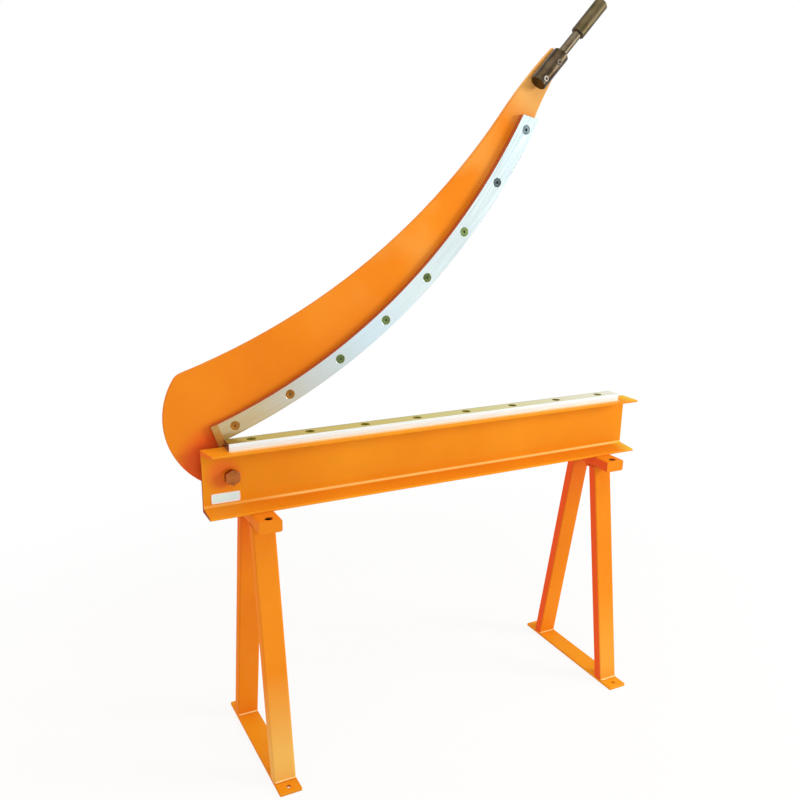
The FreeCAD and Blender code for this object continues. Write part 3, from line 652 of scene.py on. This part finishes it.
# Painted shade: the front of the arm about the pivot, beside the bed, is redder.
shaded_beside_bed = times(tree, part_of(tree, facing_y, -0.5, -0.9), part_of(tree, reach, 0.125, 0.088))
over(arm_enamel, shaded_beside_bed, (0.80, 0.115, 0.018))
finish_node("arm_plate", arm_enamel)
finish_node("arm_bush", plated_steel("turned bronze", (0.42, 0.25, 0.10), (0.60, 0.40, 0.18), 0.3))

# Curved blade, its screws and nuts
# Ground from a wide bar of tool steel, its scratches round the centre of its edge, and held on the arm by
# countersunk screws with nuts behind the arm. Its tone is a painted reflection and shade: brown by the orange arm
# at the pivot, bluish white in the middle and darker toward the tip, with painted shade on its back and heel.
edge_centre = (-0.9607, 0, 1.9999)
curved_steel, tree, shader, scratch = ground_steel("ground steel, curved blade", edge_centre)
# Painted reflection and shade: brown by the orange arm near the pivot, bluish white in the middle, darker toward the
# tip.
painted_reflection_tone = shades(tree, part_of(tree, away_from(tree, pivot), 0.05, 1.05),
              [(0.0, (0.52, 0.35, 0.12)), (0.09, (0.55, 0.42, 0.21)), (0.2, (0.56, 0.58, 0.53)),
               (0.36, (0.62, 0.77, 0.83)), (0.5, (0.70, 0.81, 0.82)), (0.75, (0.55, 0.64, 0.66)),
               (1.0, (0.30, 0.40, 0.43))])
streak = mixed(tree, part_of(tree, scratch, 0.3, 0.75, 0.0, 0.22), painted_reflection_tone, (0.78, 0.86, 0.88))
(along, deep, up), (facing_x, facing_y, facing_z) = spot(tree)
# Painted shade and reflection of the orange arm on the blade's back, which is also less metallic there.
shaded_spine = times(tree, part_of(tree, facing_z, 0.2, 0.4), part_of(tree, facing_y, -0.3, -0.1))
spined = mixed(tree, shaded_spine, streak, (0.50, 0.145, 0.06))
# Painted shade and reflection of the orange arm on the heel bevel.
bevel = times(tree, part_of(tree, facing_x, -0.1, -0.2), part_of(tree, facing_y, -0.4, -0.7))
tree.links.new(mixed(tree, bevel, spined, (0.52, 0.30, 0.07)), shader.inputs["Base Color"])
brown = add(tree, "Math", {"operation": "MAXIMUM"})
tree.links.new(shaded_spine, brown.inputs[0])
tree.links.new(bevel, brown.inputs[1])
tree.links.new(part_of(tree, brown.outputs[0], 0.0, 1.0, 0.9, 0.35), shader.inputs["Metallic"])
finish_node("upper_blade", curved_steel)
low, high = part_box("upper_blade_screws")
long_screw = countersunk_screw("long_screw", high.y - low.y)
to_front = Matrix.Rotation(math.radians(90), 4, "X")
# The screws' tones, listed from the pivot to the tip, follow the blade's painted reflection: brown, olive, then
# blue-grey.
brown_toned = plated_steel("browned steel", (0.18, 0.075, 0.015), (0.50, 0.21, 0.035), 0.34)
olive_toned = plated_steel("oiled steel", (0.10, 0.135, 0.045), (0.22, 0.30, 0.115), 0.30)
blue_grey_toned = plated_steel("blued steel", (0.05, 0.07, 0.075), (0.12, 0.16, 0.17), 0.26)
screw_steels = [brown_toned] * 2 + [olive_toned] * 4 + [blue_grey_toned] * 2
for number, (middle, screw_steel) in enumerate(zip(places_of("upper_blade_screws"), screw_steels), 1):
    like(long_screw, f"upper_blade_screw_{number}", Matrix.Translation((middle.x, low.y, middle.z)) @ to_front,
         screw_steel, "arm", "upper_blade_screws")
bpy.data.objects.remove(long_screw)
finish_node("upper_blade_nuts", blackened)

# Handle
# A blackened round socket is screwed to the arm's tip and takes a round rod with a thicker grip. One cap screw
# holds the socket, the other goes through the rod as well.
finish_node("handle_socket",
            plated_steel("blackened socket steel", (0.030, 0.018, 0.008), (0.095, 0.070, 0.044), 0.32))


def cap_screw(name, length):
    """A socket cap screw with its head's top at the origin and its end below it."""
    shank_radius = 0.004
    neck = 0.0002
    head = 0.0040
    chamfer = 0.0008
    shank = length - neck - head - 2 * chamfer
    bpy.ops.object.select_all(action="DESELECT")
    bpy.ops.mesh.primitive_cylinder_add(vertices=48, radius=shank_radius, depth=shank,
                                        location=(0, 0, -neck - head - chamfer - shank / 2))
    screw = bpy.context.object
    screw.name = name
    settle(screw)
    bpy.ops.object.mode_set(mode="EDIT")
    choose(screw, "faces", lambda point, normal: normal.z > 0.9)
    bpy.ops.mesh.extrude_region_move(TRANSFORM_OT_translate={"value": (0, 0, neck)})
    bpy.ops.transform.resize(value=(1.625, 1.625, 1))
    bpy.ops.mesh.extrude_region_move(TRANSFORM_OT_translate={"value": (0, 0, head)})
    bpy.ops.mesh.extrude_region_move(TRANSFORM_OT_translate={"value": (0, 0, chamfer)})
    bpy.ops.transform.resize(value=(0.88, 0.88, 1))
    choose(screw, "faces", lambda point, normal: normal.z < -0.9 and point.z < -0.02)
    bpy.ops.mesh.inset(thickness=chamfer, depth=chamfer)
    bpy.ops.object.mode_set(mode="OBJECT")
    key_hole(screw, radius=0.0029, deep=0.0026)
    return screw


low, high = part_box("socket_screw")
screw = cap_screw("cap_screw", high.y - low.y)
worn_steel = plated_steel("worn steel", (0.16, 0.14, 0.115), (0.30, 0.27, 0.235), 0.40)
for name, node, screw_steel in (("lower_socket_screw", "socket_screw", worn_steel),
                                ("upper_rod_screw", "rod_lock_screw", blackened)):
    low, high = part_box(node)
    middle = (low + high) / 2
    like(screw, name, Matrix.Translation((middle.x, low.y, middle.z)) @ to_front, screw_steel, "arm", node)
bpy.data.objects.remove(screw)
for piece in ("socket_washers", "socket_nuts"):
    finish_node(piece, blackened)
finish_node("handle_rod", plated_steel("browned rod steel", (0.070, 0.052, 0.03), (0.15, 0.122, 0.082), 0.40))
finish_node("handle_grip", plated_steel("browned grip", (0.050, 0.036, 0.014), (0.12, 0.094, 0.05), 0.46))
